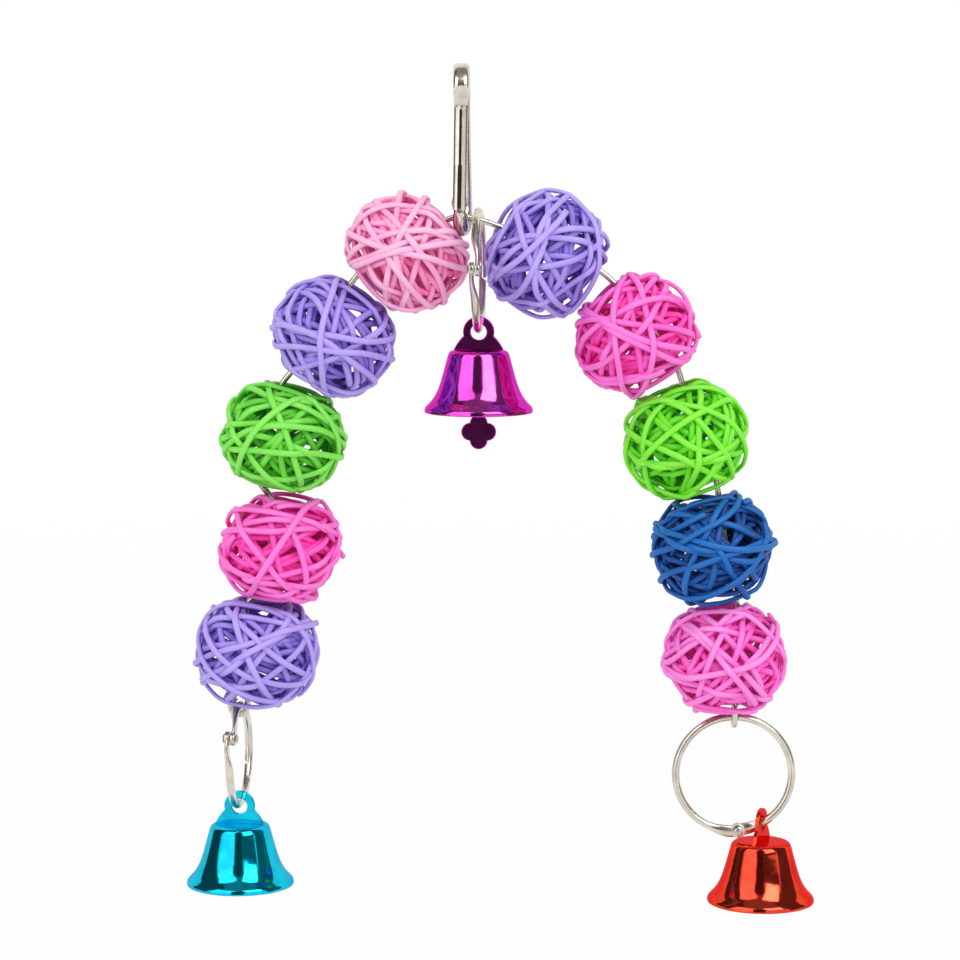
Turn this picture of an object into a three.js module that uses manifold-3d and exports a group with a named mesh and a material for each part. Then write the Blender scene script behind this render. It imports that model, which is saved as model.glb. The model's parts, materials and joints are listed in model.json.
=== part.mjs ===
// A hanging toy for a cage bird: ten woven cane balls on an arched wire, three bells on hinged rings and a hook.
// Millimetres, +Z up, front towards -Y. The origin is where the cage bar bears, inside the top of the hook.

import * as THREE from 'three';
import { mergeVertices } from 'three/addons/utils/BufferGeometryUtils.js';
import Module from 'manifold-3d';

const wasm = await Module();
wasm.setup();

// Clearances
const seatGap = 0.3; // between a piece and what carries it
const runGap = 0.3; // round a pin and beside a turning face

// Cane balls: one strand wound over and under itself, open at both ends for the wire
const ballAcross = 29.8; // outside, square to the wire
const ballLength = 24.2; // over the two open ends
const strand = 1.6; // diameter of the cane
const weaveGap = 1.4; // free height between two strands where they cross
const windingTurns = 7; // trips from end to end and back
const windingLaps = 6; // times round the wire meanwhile
const windingTilt = THREE.MathUtils.degToRad(64); // latitude that the strand climbs to
const strandSides = 5;

// Arched wire
const wire = 1.5; // diameter
const wireSides = 8;
const wireSteps = 3; // between two points of its route
const eyeTurn = THREE.MathUtils.degToRad(250); // how far each end of the wire is bent round its ring
const eyeGap = 0.4; // free space round the ring inside that bend

// The two legs of the arch: degrees below level to the first ball, from ball to ball, and at the end
const legs = {
  left: {
    side: -1,
    headings: [33, 49, 63, 88, 77, 88],
    room: 3.4, // from the middle of the hook to the first ball
    slack: 0.4, // between neighbouring balls
    eyeOut: 4.5, // from the last ball's middle out to the ring
    eyeDrop: 1.2, // from the last ball's end down to the middle of the ring's rod
    colours: [0xf98fb4, 0x8f78cf, 0x4fbe35, 0xf53b97, 0x8f78cf],
  },
  right: {
    side: 1,
    headings: [24, 42, 64, 76, 83, 88],
    room: 10,
    slack: 1.8,
    eyeOut: 2.4,
    eyeDrop: 2.2,
    colours: [0x8069c8, 0xf5309b, 0x84d41f, 0x0f4f8e, 0xf957b8],
  },
};

// Snap hook
const hookRod = 3.6; // diameter
const hookTopRadius = 4.5; // middle of the rod, round the cage bar
const hookBottomRadius = 5.7; // middle of the rod, under the wire
const hookDrop = 35.3; // from the origin down to the middle of the bottom rod
const hookYaw = THREE.MathUtils.degToRad(-7);
const noseDrop = 6.4; // from the origin down to the end of the nose
const pivotRise = 6.4; // from the middle of the bottom rod up to the gate's pin
const tongue = 1.4; // thickness of the flat end that the gate turns on
const gateWidth = 3.4;
const gateDepth = 3.2;
const gateWall = 0.6;
const gatePin = 1.3; // diameter
const gatePinHead = 2.4; // diameter
const springLeaf = 0.4; // thickness
const springReach = 9; // how far up inside the gate the spring runs

// Hinged rings
const ringAcross = 30; // outside, the middle ring and the right one
const leftRingAcross = 26; // outside
const ringRod = 1.9; // diameter
const ringSides = 8;
const knuckle = 3.4; // diameter of the flat ends at the hinge
const knuckleLeaf = 1.1; // thickness of each
const ringPin = 1.2; // diameter
const ringPinHead = 2.2; // diameter
const pinHeadHeight = 0.5;
const lapLength = 3; // where the free ends of the two halves lie side by side
const ringSideRoom = 1.3; // between the hook and the ring that hangs beside it

// Bells
const bellMouth = 26; // diameter
const bellHeight = 14.4;
const bellCrown = 13.2; // diameter of the flat top
const bellWall = 0.6;
const bellSegments = 24;
const hangerPlate = 1; // thickness
const hangerHole = 3.7; // diameter
const hangerEye = 6.8; // diameter outside the hole
const hangerBase = 12; // width on the crown
const hangerRise = 4; // from the crown's top to the middle of the hole
const tangWidth = 2.8;
const tangHole = 2; // diameter
const tangWeb = 0.8; // metal left under that hole

// Clappers
const clapperWire = 0.7; // diameter
const clapperLoop = 1.35; // radius of the bend that hangs on the tang
const clapperPlate = 0.8; // thickness
const leafRadius = 2; // one of the four lobes
const leafOffset = 2.2; // from the middle to the middle of a lobe
const shortClapper = 8; // pin to lobes, in the two outer bells
const longClapper = 15.6; // in the middle bell

const nickel = { color: 0xc9c5bb, roughness: 0.2, metalness: 1 };
const steel = { color: 0xb9b6ae, roughness: 0.3, metalness: 1 };
const lacquers = { centre: 0xc2178f, left: 0x0fa5d0, right: 0xd5281f };

const toy = new THREE.Group();
const upright = new THREE.Vector3(0, 0, 1);

// Turns a closed mesh into a solid that can be joined and cut.
function solidOf(geometry) {
  const bare = new THREE.BufferGeometry();
  bare.setAttribute('position', geometry.getAttribute('position'));
  bare.setIndex(geometry.getIndex());
  const merged = mergeVertices(bare, 1e-4);
  const vertProperties = new Float32Array(merged.getAttribute('position').array);
  const triVerts = new Uint32Array(merged.getIndex().array);
  return new wasm.Manifold(new wasm.Mesh({ numProp: 3, vertProperties, triVerts }));
}

function geometryOf(solid) {
  const mesh = solid.getMesh();
  const geometry = new THREE.BufferGeometry();
  geometry.setAttribute('position', new THREE.BufferAttribute(new Float32Array(mesh.vertProperties), 3));
  geometry.setIndex(new THREE.BufferAttribute(new Uint32Array(mesh.triVerts), 1));
  geometry.computeVertexNormals();
  return geometry;
}

function joined(...geometries) {
  return geometries.map(solidOf).reduce((whole, next) => whole.add(next));
}

function addPiece(parent, name, geometry, finish) {
  const mesh = new THREE.Mesh(geometry, new THREE.MeshStandardMaterial(finish));
  mesh.name = name;
  parent.add(mesh);
}

// A round rod along a curve.
function rod(curve, diameter, sides, steps) {
  const section = new THREE.Shape();
  section.absarc(0, 0, diameter / 2, 0, 2 * Math.PI);
  const sweep = { steps, curveSegments: sides / 2, bevelEnabled: false, extrudePath: curve };
  return new THREE.ExtrudeGeometry(section, sweep);
}

// A flat plate, drawn in X and Z and centred on its thickness along Y.
function plate(shape, thickness, curveSegments) {
  const geometry = new THREE.ExtrudeGeometry(shape, { depth: thickness, curveSegments, bevelEnabled: false });
  return geometry.translate(0, 0, -thickness / 2).rotateX(Math.PI / 2);
}

// A turned pin along Y with a head at both ends.
function headedPin(diameter, head, span, segments) {
  const shank = span / 2;
  const end = shank + pinHeadHeight;
  const profile = [
    [0, -end], [head / 2, -end], [head / 2, -shank], [diameter / 2, -shank],
    [diameter / 2, shank], [head / 2, shank], [head / 2, end], [0, end],
  ];
  return new THREE.LatheGeometry(profile.map(([r, y]) => new THREE.Vector2(r, y)), segments);
}

// A strip with a round eye at its start and a hole in that eye, drawn along +X.
function eyeStrip(eyeRadius, holeRadius, halfWidth, length) {
  const shape = new THREE.Shape();
  const meet = Math.asin(Math.min(1, halfWidth / eyeRadius));
  shape.absarc(0, 0, eyeRadius, meet, 2 * Math.PI - meet);
  shape.lineTo(length, -halfWidth);
  shape.lineTo(length, halfWidth);
  shape.closePath();
  const hole = new THREE.Path();
  hole.absarc(0, 0, holeRadius, 0, 2 * Math.PI, true);
  shape.holes.push(hole);
  return shape;
}

// Balls

const lift = (strand + weaveGap) / 2;
const ballWide = ballAcross / 2 - strand / 2 - lift;
const highRow = windingTilt * Math.cos(Math.PI / windingLaps);
const ballLong = (ballLength / 2 - strand / 2) / Math.sin(highRow) - lift;

// The middle of the strand at each place where it crosses itself, and at each turn back.
function windingPoints() {
  const count = 2 * windingLaps * windingTurns - 1;
  return Array.from({ length: count }, (_, j) => {
    const t = Math.PI / 2 + (Math.PI * j) / windingLaps;
    const latitude = windingTilt * Math.sin(t);
    const longitude = (windingLaps / windingTurns) * t;
    const trip = Math.floor(j / windingLaps);
    const over = j % windingLaps === 0 ? 0 : (-1) ** (j + trip);
    const outward = lift * over;
    return new THREE.Vector3(
      (ballWide + outward) * Math.cos(latitude) * Math.cos(longitude),
      (ballWide + outward) * Math.cos(latitude) * Math.sin(longitude),
      (ballLong + outward) * Math.sin(latitude),
    );
  });
}

// One unbroken tube through the points, its section set square to the strand.
function windingTube(points) {
  const positions = [];
  const index = [];
  points.forEach((point, j) => {
    const before = points[Math.max(0, j - 1)];
    const after = points[Math.min(points.length - 1, j + 1)];
    const along = after.clone().sub(before).normalize();
    const out = point.clone().addScaledVector(along, -point.dot(along)).normalize();
    const across = along.clone().cross(out);
    for (let k = 0; k < strandSides; k += 1) {
      const angle = (2 * Math.PI * k) / strandSides;
      const corner = point.clone();
      corner.addScaledVector(out, (strand / 2) * Math.cos(angle));
      corner.addScaledVector(across, (strand / 2) * Math.sin(angle));
      positions.push(...corner.toArray());
    }
  });
  for (let j = 0; j + 1 < points.length; j += 1) {
    for (let k = 0; k < strandSides; k += 1) {
      const here = j * strandSides + k;
      const beside = j * strandSides + ((k + 1) % strandSides);
      index.push(here, beside, beside + strandSides);
      index.push(here, beside + strandSides, here + strandSides);
    }
  }
  const last = (points.length - 1) * strandSides;
  for (let k = 1; k + 1 < strandSides; k += 1) {
    index.push(0, k + 1, k);
    index.push(last, last + k, last + k + 1);
  }
  const geometry = new THREE.BufferGeometry();
  geometry.setAttribute('position', new THREE.Float32BufferAttribute(positions, 3));
  geometry.setIndex(index);
  geometry.computeVertexNormals();
  return geometry;
}

// The least gap of the winding to itself, on points a sixth of a step apart, leaving out neighbours.
function leastGap(points) {
  const parts = 6;
  const fine = points.slice(1).flatMap((point, j) =>
    Array.from({ length: parts }, (_, k) => points[j].clone().lerp(point, k / parts)));
  let least = Infinity;
  fine.forEach((point, j) => {
    for (let k = j + 2 * parts; k < fine.length; k += 1) {
      least = Math.min(least, point.distanceTo(fine[k]));
    }
  });
  return least - strand;
}

// How far a ball reaches from its middle along a line that is turned from its axis.
function ballReach(turn) {
  const rows = Array.from({ length: windingLaps }, (_, j) => {
    const latitude = windingTilt * Math.cos((Math.PI * j) / windingLaps);
    const outward = j === 0 ? 0 : lift;
    const along = (ballLong + outward) * Math.sin(latitude);
    const aside = (ballWide + outward) * Math.cos(latitude);
    return along * Math.cos(turn) + aside * Math.sin(Math.abs(turn));
  });
  return Math.max(...rows) + strand / 2;
}

const winding = windingPoints();
const ballGeometry = windingTube(winding);
console.log(`least gap of a ball's strand to itself: ${leastGap(winding).toFixed(2)} mm`);

// Route of the arch

const apex = new THREE.Vector3(0, 0, -hookDrop + hookRod / 2 + seatGap + wire / 2);
const ringMiddle = (ringAcross - ringRod) / 2;
const leftRingMiddle = (leftRingAcross - ringRod) / 2;
const eyeRadius = ringRod / 2 + eyeGap + wire / 2;
const ballEnd = ballLong * Math.sin(windingTilt);
const wireSeat = ballWide * Math.cos(windingTilt) - strand / 2 - seatGap - wire / 2;

function course(side, degrees) {
  const angle = THREE.MathUtils.degToRad(degrees);
  return new THREE.Vector3(side * Math.cos(angle), 0, -Math.sin(angle));
}

function outwardOf(side, direction) {
  return new THREE.Vector3(-side * direction.z, 0, side * direction.x);
}

// Where the balls of one leg sit, how they are turned, and the points that the wire runs through.
// Each ball hangs on the wire by the outer side of its open ends. The first meets it squarely at the hook.
function layLeg(leg) {
  const { side, headings } = leg;
  const balls = [];
  const knots = [];
  let centre = null;
  for (let n = 0; n + 1 < headings.length; n += 1) {
    const heading = (headings[n] + headings[n + 1]) / 2;
    const axis = course(side, heading);
    const out = outwardOf(side, axis);
    const direction = course(side, headings[n]);
    if (n === 0) {
      centre = apex.clone().addScaledVector(direction, leg.room + ballLength / 2);
    } else {
      const turnBefore = THREE.MathUtils.degToRad(headings[n] - balls[n - 1].heading);
      const turnAfter = THREE.MathUtils.degToRad(heading - headings[n]);
      const pitch = ballReach(turnBefore) + leg.slack + ballReach(turnAfter);
      centre = centre.clone().addScaledVector(direction, pitch);
    }
    knots.push(centre.clone().addScaledVector(axis, -ballEnd).addScaledVector(out, n === 0 ? 0 : wireSeat));
    knots.push(centre.clone().addScaledVector(axis, ballEnd).addScaledVector(out, wireSeat));
    balls.push({ centre, heading, axis, out });
  }
  knots.pop();
  const eye = centre.clone();
  eye.x += side * leg.eyeOut;
  eye.z -= ballLength / 2 + leg.eyeDrop;
  return { balls, knots, eye };
}

// The bent end of the wire round a ring's rod: down one side, under the rod and up again.
function eyePoints(eye, sideways) {
  const steps = 5;
  const shank = eye.clone().addScaledVector(sideways, eyeRadius).addScaledVector(upright, 2 * eyeRadius);
  const bend = Array.from({ length: steps + 1 }, (_, k) => {
    const angle = -(eyeTurn * k) / steps;
    return eye.clone()
      .addScaledVector(sideways, eyeRadius * Math.cos(angle))
      .addScaledVector(upright, eyeRadius * Math.sin(angle));
  });
  return [shank, ...bend];
}

// A smooth curve whose steps are shared evenly between its points, so that tight bends get enough of them.
class KnotCurve extends THREE.CatmullRomCurve3 {
  getPointAt(u, target) {
    return this.getPoint(u, target);
  }

  getTangentAt(u, target) {
    return this.getTangent(u, target);
  }
}

const leftLeg = layLeg(legs.left);
const rightLeg = layLeg(legs.right);
const inward = new THREE.Vector3(1, 0, 0);
const forward = new THREE.Vector3(0, -1, 0);
const leftWire = [...leftLeg.knots, ...eyePoints(leftLeg.eye, inward)];
const rightWire = [...rightLeg.knots, ...eyePoints(rightLeg.eye, forward)];
const wireKnots = [...leftWire.reverse(), apex, ...rightWire];
const wireCurve = new KnotCurve(wireKnots);

// The point of the wire nearest to a place on its X axis, near the top of the arch.
function wireAt(x) {
  const points = wireCurve.getPoints(2000);
  const top = points.filter((point) => Math.abs(point.x) < 3 * ringMiddle && point.z > apex.z - ringMiddle);
  return top.reduce((best, point) => (Math.abs(point.x - x) < Math.abs(best.x - x) ? point : best));
}

addPiece(toy, 'arch_wire', rod(wireCurve, wire, wireSides, wireSteps * (wireKnots.length - 1)), nickel);

// Each ball is turned so that one of its end bends lies on the wire.
function addBalls(name, leg, colours) {
  const firstBend = ((windingLaps / windingTurns) * Math.PI) / 2;
  leg.balls.forEach((ball, n) => {
    const holder = new THREE.Group();
    holder.position.copy(ball.centre);
    holder.quaternion.setFromUnitVectors(upright, ball.axis);
    const out = ball.out.clone().applyQuaternion(holder.quaternion.clone().invert());
    const turned = ballGeometry.clone().rotateZ(Math.atan2(out.y, out.x) - firstBend);
    addPiece(holder, `ball_${name}_${n + 1}`, turned, { color: colours[n], roughness: 0.6, metalness: 0 });
    toy.add(holder);
  });
}

addBalls('left', leftLeg, legs.left.colours);
addBalls('right', rightLeg, legs.right.colours);

// Snap hook, drawn in Y and Z: the gate at the front, the back rod behind

const hook = new THREE.Group();
hook.rotation.z = hookYaw;
toy.add(hook);

const topMiddle = hookRod / 2 - hookTopRadius;
const bottomMiddle = hookBottomRadius - hookDrop;
const sideLean = Math.asin((hookBottomRadius - hookTopRadius) / (topMiddle - bottomMiddle));
const pivotZ = pivotRise - hookDrop;
const pivotY = -hookBottomRadius + (pivotZ - bottomMiddle) * Math.tan(sideLean);

function arcPoints(middleZ, radius, from, to, count) {
  return Array.from({ length: count }, (_, k) => {
    const angle = THREE.MathUtils.lerp(from, to, k / (count - 1));
    return new THREE.Vector3(0, radius * Math.cos(angle), middleZ + radius * Math.sin(angle));
  });
}

function hookBody() {
  const tongueEye = gateDepth / 2;
  const rodStart = tongueEye + runGap;
  const startAngle = Math.PI + Math.asin((bottomMiddle - pivotZ + rodStart) / hookBottomRadius);
  const bottom = arcPoints(bottomMiddle, hookBottomRadius, startAngle, 2 * Math.PI + sideLean, 9);
  const top = arcPoints(topMiddle, hookTopRadius, sideLean, Math.PI - sideLean, 9);
  const noseLean = Math.tan(sideLean) * (noseDrop + topMiddle);
  const nose = new THREE.Vector3(0, top[8].y - noseLean, -noseDrop);
  const path = new THREE.CatmullRomCurve3([...bottom, ...top, nose], false, 'centripetal');
  const start = bottom[0];
  const drop = Math.hypot(start.y - pivotY, start.z - pivotZ);
  const strip = eyeStrip(tongueEye, gatePin / 2 + runGap, tongueEye * 0.8, drop + hookRod / 3);
  const flat = plate(strip, tongue, 8);
  flat.rotateZ(Math.PI / 2).rotateX(Math.atan2(start.z - pivotZ, start.y - pivotY));
  flat.translate(0, pivotY, pivotZ);
  return geometryOf(joined(rod(path, hookRod, 10, 44), flat));
}

// The gate is a folded channel, open to the inside of the hook, with two ears at its pin.
function hookGate() {
  const half = gateWidth / 2;
  const inside = half - gateWall;
  const front = -gateDepth / 2;
  const back = gateDepth / 2;
  const channel = new THREE.Shape();
  channel.moveTo(half, back);
  channel.lineTo(inside, back);
  channel.lineTo(inside, front + gateWall);
  channel.lineTo(-inside, front + gateWall);
  channel.lineTo(-inside, back);
  channel.lineTo(-half, back);
  channel.lineTo(-half, front + half / 2);
  channel.quadraticCurveTo(-half, front, -half / 2, front);
  channel.lineTo(half / 2, front);
  channel.quadraticCurveTo(half, front, half, front + half / 2);
  const foot = gateDepth / 2 + runGap;
  const rise = (-noseDrop - seatGap - pivotZ) / Math.cos(sideLean);
  const length = rise - foot;
  const body = new THREE.ExtrudeGeometry(channel, { depth: length, curveSegments: 4, bevelEnabled: false });
  body.translate(0, 0, foot);
  const ears = [-1, 1].map((side) => {
    const strip = eyeStrip(gateDepth / 2, gatePin / 2 + runGap / 2, gateDepth / 2, foot + gateWidth);
    const ear = plate(strip, gateWall, 8);
    ear.rotateZ(Math.PI / 2).rotateX(Math.PI / 2);
    return ear.translate(side * (half - gateWall / 2), 0, 0);
  });
  return geometryOf(joined(body, ...ears));
}

// A bent leaf inside the gate: its foot lies on the tongue and its blade on the gate's front wall.
function gateSpring() {
  const front = -gateDepth / 2 + gateWall + runGap;
  const foot = gateDepth / 2 + runGap;
  const leaf = new THREE.Shape();
  leaf.moveTo(gateDepth / 3, foot);
  leaf.lineTo(front, foot);
  leaf.lineTo(front, foot + springReach);
  leaf.lineTo(front + springLeaf, foot + springReach);
  leaf.lineTo(front + springLeaf, foot + springLeaf);
  leaf.lineTo(gateDepth / 3, foot + springLeaf);
  const width = gateWidth - 2 * gateWall - 2 * runGap;
  return plate(leaf, width, 2).rotateZ(Math.PI / 2);
}

addPiece(hook, 'hook_body', hookBody(), nickel);
const gate = new THREE.Group();
gate.position.set(0, pivotY, pivotZ);
gate.rotation.x = -sideLean;
hook.add(gate);
addPiece(gate, 'hook_gate', hookGate(), nickel);
addPiece(gate, 'hook_gate_spring', gateSpring(), steel);
const gatePinGeometry = headedPin(gatePin, gatePinHead, gateWidth + runGap, 12).rotateZ(Math.PI / 2);
addPiece(gate, 'hook_gate_pin', gatePinGeometry, steel);

// Hinged rings, drawn in X and Z round their own middle

class CircleArc extends THREE.Curve {
  constructor(radius, from, to) {
    super();
    Object.assign(this, { radius, from, to });
  }

  getPoint(t, target = new THREE.Vector3()) {
    const angle = THREE.MathUtils.lerp(this.from, this.to, t);
    return target.set(this.radius * Math.cos(angle), 0, this.radius * Math.sin(angle));
  }
}

// One half of a ring. It leaves the hinge anticlockwise or clockwise (way 1 or -1), on that side of Y.
function ringHalf(middle, hinge, way) {
  const start = (knuckle / 2 + runGap) / middle;
  const lap = lapLength / 2 / middle;
  const arc = new CircleArc(middle, hinge + way * start, hinge + way * (Math.PI + lap));
  const leafMiddle = (way * (knuckleLeaf + runGap)) / 2;
  const leafLength = knuckle / 2 + runGap + ringRod / 2;
  const strip = eyeStrip(knuckle / 2, ringPin / 2 + runGap / 2, ringRod / 2, leafLength);
  const leaf = plate(strip, knuckleLeaf, 6);
  leaf.rotateY(-(hinge + (way * Math.PI) / 2));
  leaf.translate(middle * Math.cos(hinge), leafMiddle, middle * Math.sin(hinge));
  const cut = new THREE.BoxGeometry(2 * ringRod, ringRod, lapLength + 2 * runGap);
  cut.translate(middle, (way * (runGap - ringRod)) / 2, 0).rotateY(-(hinge + Math.PI));
  const whole = joined(rod(arc, ringRod, ringSides, 18), leaf);
  return geometryOf(whole.subtract(solidOf(cut)));
}

function ringPinGeometry(middle, hinge) {
  const span = 2 * knuckleLeaf + 3 * runGap;
  const pin = headedPin(ringPin, ringPinHead, span, 10);
  return pin.translate(middle * Math.cos(hinge), 0, middle * Math.sin(hinge));
}

// A ring hung by its rod at a place, turned about the upright, with its hinge at an angle from its own +X.
function addRing(name, middle, hangAt, yaw, hinge, halves) {
  const ring = new THREE.Group();
  ring.position.copy(hangAt).addScaledVector(upright, -middle);
  ring.rotation.z = yaw;
  toy.add(ring);
  addPiece(ring, `${name}_ring_${halves[0]}`, ringHalf(middle, hinge, -1), nickel);
  addPiece(ring, `${name}_ring_${halves[1]}`, ringHalf(middle, hinge, 1), nickel);
  addPiece(ring, `${name}_ring_pin`, ringPinGeometry(middle, hinge), steel);
  return ring;
}

// Bells, drawn down from the middle of the ring's rod

const holeDrop = (hangerHole - ringRod) / 2 - seatGap;

function bellShell(crownZ) {
  const mouth = bellMouth / 2;
  const crown = bellCrown / 2;
  const outline = [
    [crown + 0.5, -0.25], [crown + 0.85, -0.9], [crown + 1.3, -3], [crown + 2.4, -bellHeight * 0.45],
    [crown + 3.8, -bellHeight * 0.68], [mouth - 0.95, -bellHeight * 0.88], [mouth, -bellHeight],
  ];
  const outer = new THREE.SplineCurve(outline.map(([r, z]) => new THREE.Vector2(r, z))).getPoints(9);
  const inner = outer.slice(1).map((point) => new THREE.Vector2(point.x - bellWall, point.y)).reverse();
  const profile = [
    new THREE.Vector2(0, 0), new THREE.Vector2(crown, 0), ...outer, ...inner,
    new THREE.Vector2(crown - bellWall / 2, -bellWall), new THREE.Vector2(0, -bellWall),
  ];
  const turned = new THREE.LatheGeometry(profile.reverse(), bellSegments).rotateX(Math.PI / 2);
  turned.translate(0, 0, crownZ);
  const slot = new THREE.BoxGeometry(tangWidth + 2 * runGap, hangerPlate + 2 * runGap, 4 * bellWall);
  slot.translate(0, 0, crownZ);
  return geometryOf(solidOf(turned).subtract(solidOf(slot)));
}

function bellHanger(holeZ, tangHoleZ) {
  const base = holeZ - hangerRise;
  const tang = tangWidth / 2;
  const shape = new THREE.Shape();
  const flare = THREE.MathUtils.degToRad(20);
  shape.absarc(0, holeZ, hangerEye / 2, -flare, Math.PI + flare);
  shape.quadraticCurveTo(-hangerEye / 2, base + 0.9, -hangerBase / 2, base + 0.6);
  shape.lineTo(-hangerBase / 2, base);
  shape.lineTo(-tang, base);
  shape.lineTo(-tang, tangHoleZ - 0.3);
  shape.quadraticCurveTo(-tang, tangHoleZ - tangHole / 2 - tangWeb, 0, tangHoleZ - tangHole / 2 - tangWeb);
  shape.quadraticCurveTo(tang, tangHoleZ - tangHole / 2 - tangWeb, tang, tangHoleZ - 0.3);
  shape.lineTo(tang, base);
  shape.lineTo(hangerBase / 2, base);
  shape.lineTo(hangerBase / 2, base + 0.6);
  const eyeSide = (hangerEye / 2) * Math.cos(flare);
  const eyeFoot = holeZ - (hangerEye / 2) * Math.sin(flare);
  shape.quadraticCurveTo(hangerEye / 2, base + 0.9, eyeSide, eyeFoot);
  [[holeZ, hangerHole], [tangHoleZ, tangHole]].forEach(([z, across]) => {
    const hole = new THREE.Path();
    hole.absarc(0, z, across / 2, 0, 2 * Math.PI, true);
    shape.holes.push(hole);
  });
  return plate(shape, hangerPlate, 8);
}

// A four-lobed plate on a wire whose top is bent round the tang.
function bellClapper(pinZ, drop) {
  const lobes = new THREE.Shape();
  const meet = Math.PI / 4 + Math.asin((leafOffset * Math.SQRT1_2) / leafRadius);
  for (let k = 0; k < 4; k += 1) {
    const turn = (k * Math.PI) / 2;
    const middle = new THREE.Vector2(leafOffset * Math.cos(turn), pinZ - drop + leafOffset * Math.sin(turn));
    lobes.absarc(middle.x, middle.y, leafRadius, turn - meet, turn + meet);
  }
  const flat = plate(lobes, clapperPlate, 6);
  const loopZ = pinZ - clapperLoop;
  const neck = pinZ - drop + leafOffset + leafRadius / 2;
  const path = new THREE.CatmullRomCurve3([
    new THREE.Vector3(0, 0, neck),
    new THREE.Vector3(0, 0, (neck + loopZ - 1.6 * clapperLoop) / 2),
    new THREE.Vector3(0, 0, loopZ - 1.6 * clapperLoop),
    new THREE.Vector3(0, -clapperLoop, loopZ),
    new THREE.Vector3(0, 0, loopZ + clapperLoop),
    new THREE.Vector3(0, clapperLoop, loopZ),
    new THREE.Vector3(0, clapperLoop / 2, loopZ - 0.9 * clapperLoop),
  ], false, 'centripetal');
  return geometryOf(joined(rod(path, clapperWire, 6, 22), flat));
}

// A bell hung by its hanger on a rod at a place, turned about the upright.
function addBell(name, hangAt, yaw, drop, holeZ) {
  const bell = new THREE.Group();
  bell.position.copy(hangAt);
  bell.rotation.z = yaw;
  toy.add(bell);
  const crownZ = holeZ - hangerRise - seatGap;
  const tangHoleZ = crownZ - bellWall - seatGap - tangHole / 2;
  const pinZ = tangHoleZ - (tangHole - clapperWire) / 2 + seatGap;
  const lacquer = { color: lacquers[name], roughness: 0.15, metalness: 0.9 };
  addPiece(bell, `${name}_bell_shell`, bellShell(crownZ), lacquer);
  addPiece(bell, `${name}_bell_hanger`, bellHanger(holeZ, tangHoleZ), lacquer);
  addPiece(bell, `${name}_bell_clapper`, bellClapper(pinZ, drop), lacquer);
}

// The middle ring hangs on the wire beside the hook, and the outer rings in the bent ends of the wire.
const sideways = Math.PI / 2;
const centreYaw = sideways + THREE.MathUtils.degToRad(-4);
const leftYaw = sideways + THREE.MathUtils.degToRad(-7);
const centreSeat = wireAt(hookRod / 2 + ringSideRoom + ringRod / 2);
const centreHang = centreSeat.clone().addScaledVector(upright, (wire + ringRod) / 2 + seatGap);
const centreHinge = THREE.MathUtils.degToRad(176);
const leftHinge = THREE.MathUtils.degToRad(150);
const rightHinge = THREE.MathUtils.degToRad(-85);
const centreRing = addRing('centre', ringMiddle, centreHang, centreYaw, centreHinge, ['upper', 'lower']);
const leftRing = addRing('left', leftRingMiddle, leftLeg.eye, leftYaw, leftHinge, ['upper', 'lower']);
const rightRing = addRing('right', ringMiddle, rightLeg.eye, 0, rightHinge, ['free_half', 'fixed_half']);

const centreFoot = centreRing.position.clone().addScaledVector(upright, -ringMiddle);
const leftFoot = leftRing.position.clone().addScaledVector(upright, -leftRingMiddle);
addBell('centre', centreFoot, centreYaw - sideways, longClapper, -holeDrop);
addBell('left', leftFoot, leftYaw - sideways, shortClapper, -holeDrop);
const rightBellAngle = THREE.MathUtils.degToRad(-61);
const rightBellAt = rightRing.position.clone();
rightBellAt.x += ringMiddle * Math.cos(rightBellAngle);
rightBellAt.z += ringMiddle * Math.sin(rightBellAngle);
addBell('right', rightBellAt, THREE.MathUtils.degToRad(75), shortClapper, 0);

export default toy;
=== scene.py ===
"""A hanging bird toy: ten woven cane balls on an arched wire, a snap hook, and three bells on hinged rings.

Shapes are drawn in millimetres in the frame of the piece, then set in place in metres.
"""

import json
import math

import bmesh
import bpy
import numpy as np
from mathutils import Matrix, Vector
from mathutils.geometry import interpolate_bezier


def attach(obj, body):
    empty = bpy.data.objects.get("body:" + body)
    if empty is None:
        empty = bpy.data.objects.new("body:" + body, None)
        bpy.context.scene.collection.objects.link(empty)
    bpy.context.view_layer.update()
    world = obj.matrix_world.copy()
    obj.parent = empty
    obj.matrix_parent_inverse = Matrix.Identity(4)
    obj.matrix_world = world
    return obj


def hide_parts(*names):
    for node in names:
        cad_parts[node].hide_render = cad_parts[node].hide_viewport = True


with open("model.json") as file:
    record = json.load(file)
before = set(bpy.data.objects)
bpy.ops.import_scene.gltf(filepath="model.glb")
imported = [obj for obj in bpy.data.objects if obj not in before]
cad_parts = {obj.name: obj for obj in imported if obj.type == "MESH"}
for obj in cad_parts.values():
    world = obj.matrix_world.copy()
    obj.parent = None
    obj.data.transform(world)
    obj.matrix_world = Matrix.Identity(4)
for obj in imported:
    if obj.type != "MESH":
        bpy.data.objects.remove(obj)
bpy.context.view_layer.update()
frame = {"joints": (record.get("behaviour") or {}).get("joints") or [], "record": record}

mm = 0.001
metres = Matrix.Scale(mm, 4)
joints = {joint["name"]: joint for joint in frame["joints"]}
bodies = frame["record"]["behaviour"]["bodies"]
body_of = {node: body for body, nodes in bodies.items() for node in nodes}

# Sizes shared by several pieces, in millimetres

wire_radius = 0.75
hook_rod = 1.8
hook_drop = 35.3
seat_gap = 0.3


def joint_point(name):
    return Vector(joints[name]["pos_m"]) / mm


def joint_axis(name):
    return Vector(joints[name]["axis"]).normalized()


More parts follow.
